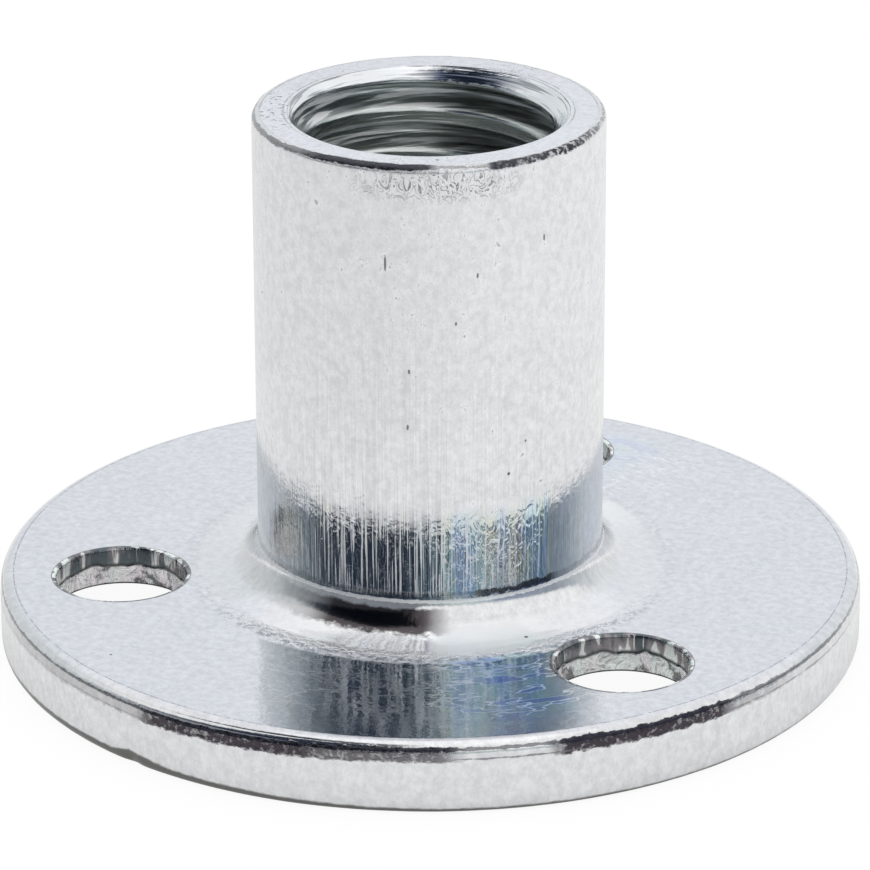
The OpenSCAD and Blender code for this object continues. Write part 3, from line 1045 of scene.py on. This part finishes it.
# ---------------------------------------------------------------- floor and light
# A pale floor and a plain studio surround, with a soft box overhead. The side of the room that
# the camera stands in is darker, which gives the metal its dark reflections.
FLOOR_R = 1.5
floor_mesh = bpy.data.meshes.new("floor")
floor_shape = bmesh.new()
bmesh.ops.create_circle(floor_shape, cap_ends=True, segments=96, radius=FLOOR_R)
floor_shape.to_mesh(floor_mesh)
floor_shape.free()
floor = bpy.data.objects.new("floor", floor_mesh)
bpy.context.scene.collection.objects.link(floor)
floor_paint = bpy.data.materials.new("floor_paint")
floor_paint.use_nodes = True
tree = floor_paint.node_tree
tree.nodes.clear()
path = readings(tree, tree.nodes.new("ShaderNodeLightPath"))
place = tree.nodes.new("ShaderNodeTexCoord").outputs["Object"]
aside = tree.nodes.new("ShaderNodeVectorMath")
aside.operation = "DOT_PRODUCT"
wire(tree, place, aside.inputs[0])
wire(tree, (math.cos(turn), math.sin(turn), 0), aside.inputs[1])
fall_off = readings(tree, aside)["Value"].ramp(-0.06, 0.06, 0.72, 1.0, "SMOOTHSTEP")
in_metal = blended(fall_off, (0, 0, 0), (1, 1, 1))
matt = added(tree, "ShaderNodeBsdfDiffuse", {
    "Color": blended(path["Is Glossy Ray"], (0.97, 0.97, 0.97), (0.88, 0.88, 0.88)),
})
white = added(tree, "ShaderNodeEmission", {
    "Color": blended(path["Is Glossy Ray"], (1.0, 1.0, 1.0), in_metal),
})
own_white = path["Is Camera Ray"] * 0.93 + path["Is Glossy Ray"] * 0.42
seen = added(tree, "ShaderNodeMixShader", {0: own_white, 1: matt, 2: white})
clear = tree.nodes.new("ShaderNodeBsdfTransparent")
side = tree.nodes.new("ShaderNodeNewGeometry").outputs["Backfacing"]
one_sided = added(tree, "ShaderNodeMixShader", {0: side, 1: seen, 2: clear})
added(tree, "ShaderNodeOutputMaterial", {"Surface": one_sided})
floor_mesh.materials.append(floor_paint)

# The soft box lights the floor and isn't seen in the metal
box_lamp = bpy.data.lights.new("soft_box", "AREA")
box_lamp.shape = "DISK"
box_lamp.size = 0.5
box_lamp.energy = 0.45
soft_box = bpy.data.objects.new("soft_box", box_lamp)
bpy.context.scene.collection.objects.link(soft_box)
soft_box.visible_glossy = False
soft_box.location = (-0.08, 0.08, 0.55)
soft_box.rotation_euler = (Vector((0, 0, 0)) - soft_box.location).to_track_quat("-Z", "Y").to_euler()

room = bpy.data.worlds.new("room")
bpy.context.scene.world = room
room.use_nodes = True
room.cycles.sampling_method = "NONE"
tree = room.node_tree
tree.nodes.clear()
path = readings(tree, tree.nodes.new("ShaderNodeLightPath"))
facing = tree.nodes.new("ShaderNodeVectorRotate")
facing.rotation_type = "Z_AXIS"
wire(tree, tree.nodes.new("ShaderNodeTexCoord").outputs["Generated"], facing.inputs["Vector"])
wire(tree, math.radians(90 - LOOK_AZIMUTH), facing.inputs["Angle"])
x, y, up = parts_of(tree, facing)
bearing = (y.worked("ARCTAN2", x) / math.pi).ramp(-1.0, 1.0)

# What the metal sees: a low room, a high room above it and a roof. Their tones go by the bearing
# from the camera's side. Reflections of reflections, as in the bore, see a more even room.
ONE_BOUNCE = 1.5
low_room = round_the_axis(bearing, [
    (-180, (0.85, 0.87, 0.88)), (-118, (0.58, 0.62, 0.63)), (-90, (0.22, 0.25, 0.27)),
    (-66, (0.05, 0.07, 0.1)), (-10, (0.022, 0.035, 0.06)), (4, (0.18, 0.24, 0.27)),
    (14, (0.48, 0.57, 0.53)), (30, (0.46, 0.56, 0.57)), (42, (0.15, 0.21, 0.34)),
    (84, (0.15, 0.19, 0.26)), (104, (0.4, 0.45, 0.48)), (130, (0.8, 0.82, 0.84)),
    (180, (0.85, 0.87, 0.88)),
])
high_room = round_the_axis(bearing, [
    (-180, (0.95, 0.97, 0.98)), (-105, (0.8, 0.83, 0.85)), (-88, (0.1, 0.12, 0.15)),
    (-70, (0.02, 0.03, 0.05)), (-16, (0.02, 0.03, 0.05)), (-8, (1.0, 1.0, 1.0)),
    (90, (1.0, 1.0, 1.0)), (130, (0.95, 0.97, 0.98)), (180, (0.95, 0.97, 0.98)),
])
deep = path["Glossy Depth"].worked("GREATER_THAN", ONE_BOUNCE)
low = blended(deep.ramp(0.0, 1.0, 0.78, 1.0), (0.93, 0.95, 0.97), low_room)
high_room = blended(deep, high_room, (1.0, 1.0, 1.0))
low_top = round_the_axis(bearing, [(-180, 0.52), (-14, 0.52), (-4, 0.24), (100, 0.24), (130, 0.52)])
low_top = low_top.worked("MAXIMUM", deep * 0.52)
is_high = up.ramp(low_top, low_top + 0.1, 0.0, 1.0, "SMOOTHSTEP")
upper = blended(is_high, low, high_room)
ceiling = round_the_axis(bearing, [
    (-180, 0.6), (-96, 0.7), (-86, 0.955), (-10, 0.955), (0, 0.75), (40, 0.75), (180, 0.6),
])
overhead = up.ramp(ceiling, ceiling + 0.03, 0.0, 1.0, "SMOOTHSTEP")
roof = up.ramp(0.93, 0.95, 0.94, deep.ramp(0.0, 1.0, 1.15, 1.7))
roof_colour = roof.made_by(tree.nodes.new("ShaderNodeCombineColor"), roof, roof, roof)
surround = blended(overhead, upper, roof_colour)
air = added(tree, "ShaderNodeBackground", {
    "Color": blended(path["Is Glossy Ray"], (1, 1, 1), surround),
})
added(tree, "ShaderNodeOutputWorld", {"Surface": air})

bpy.context.scene.view_settings.view_transform = "Standard"
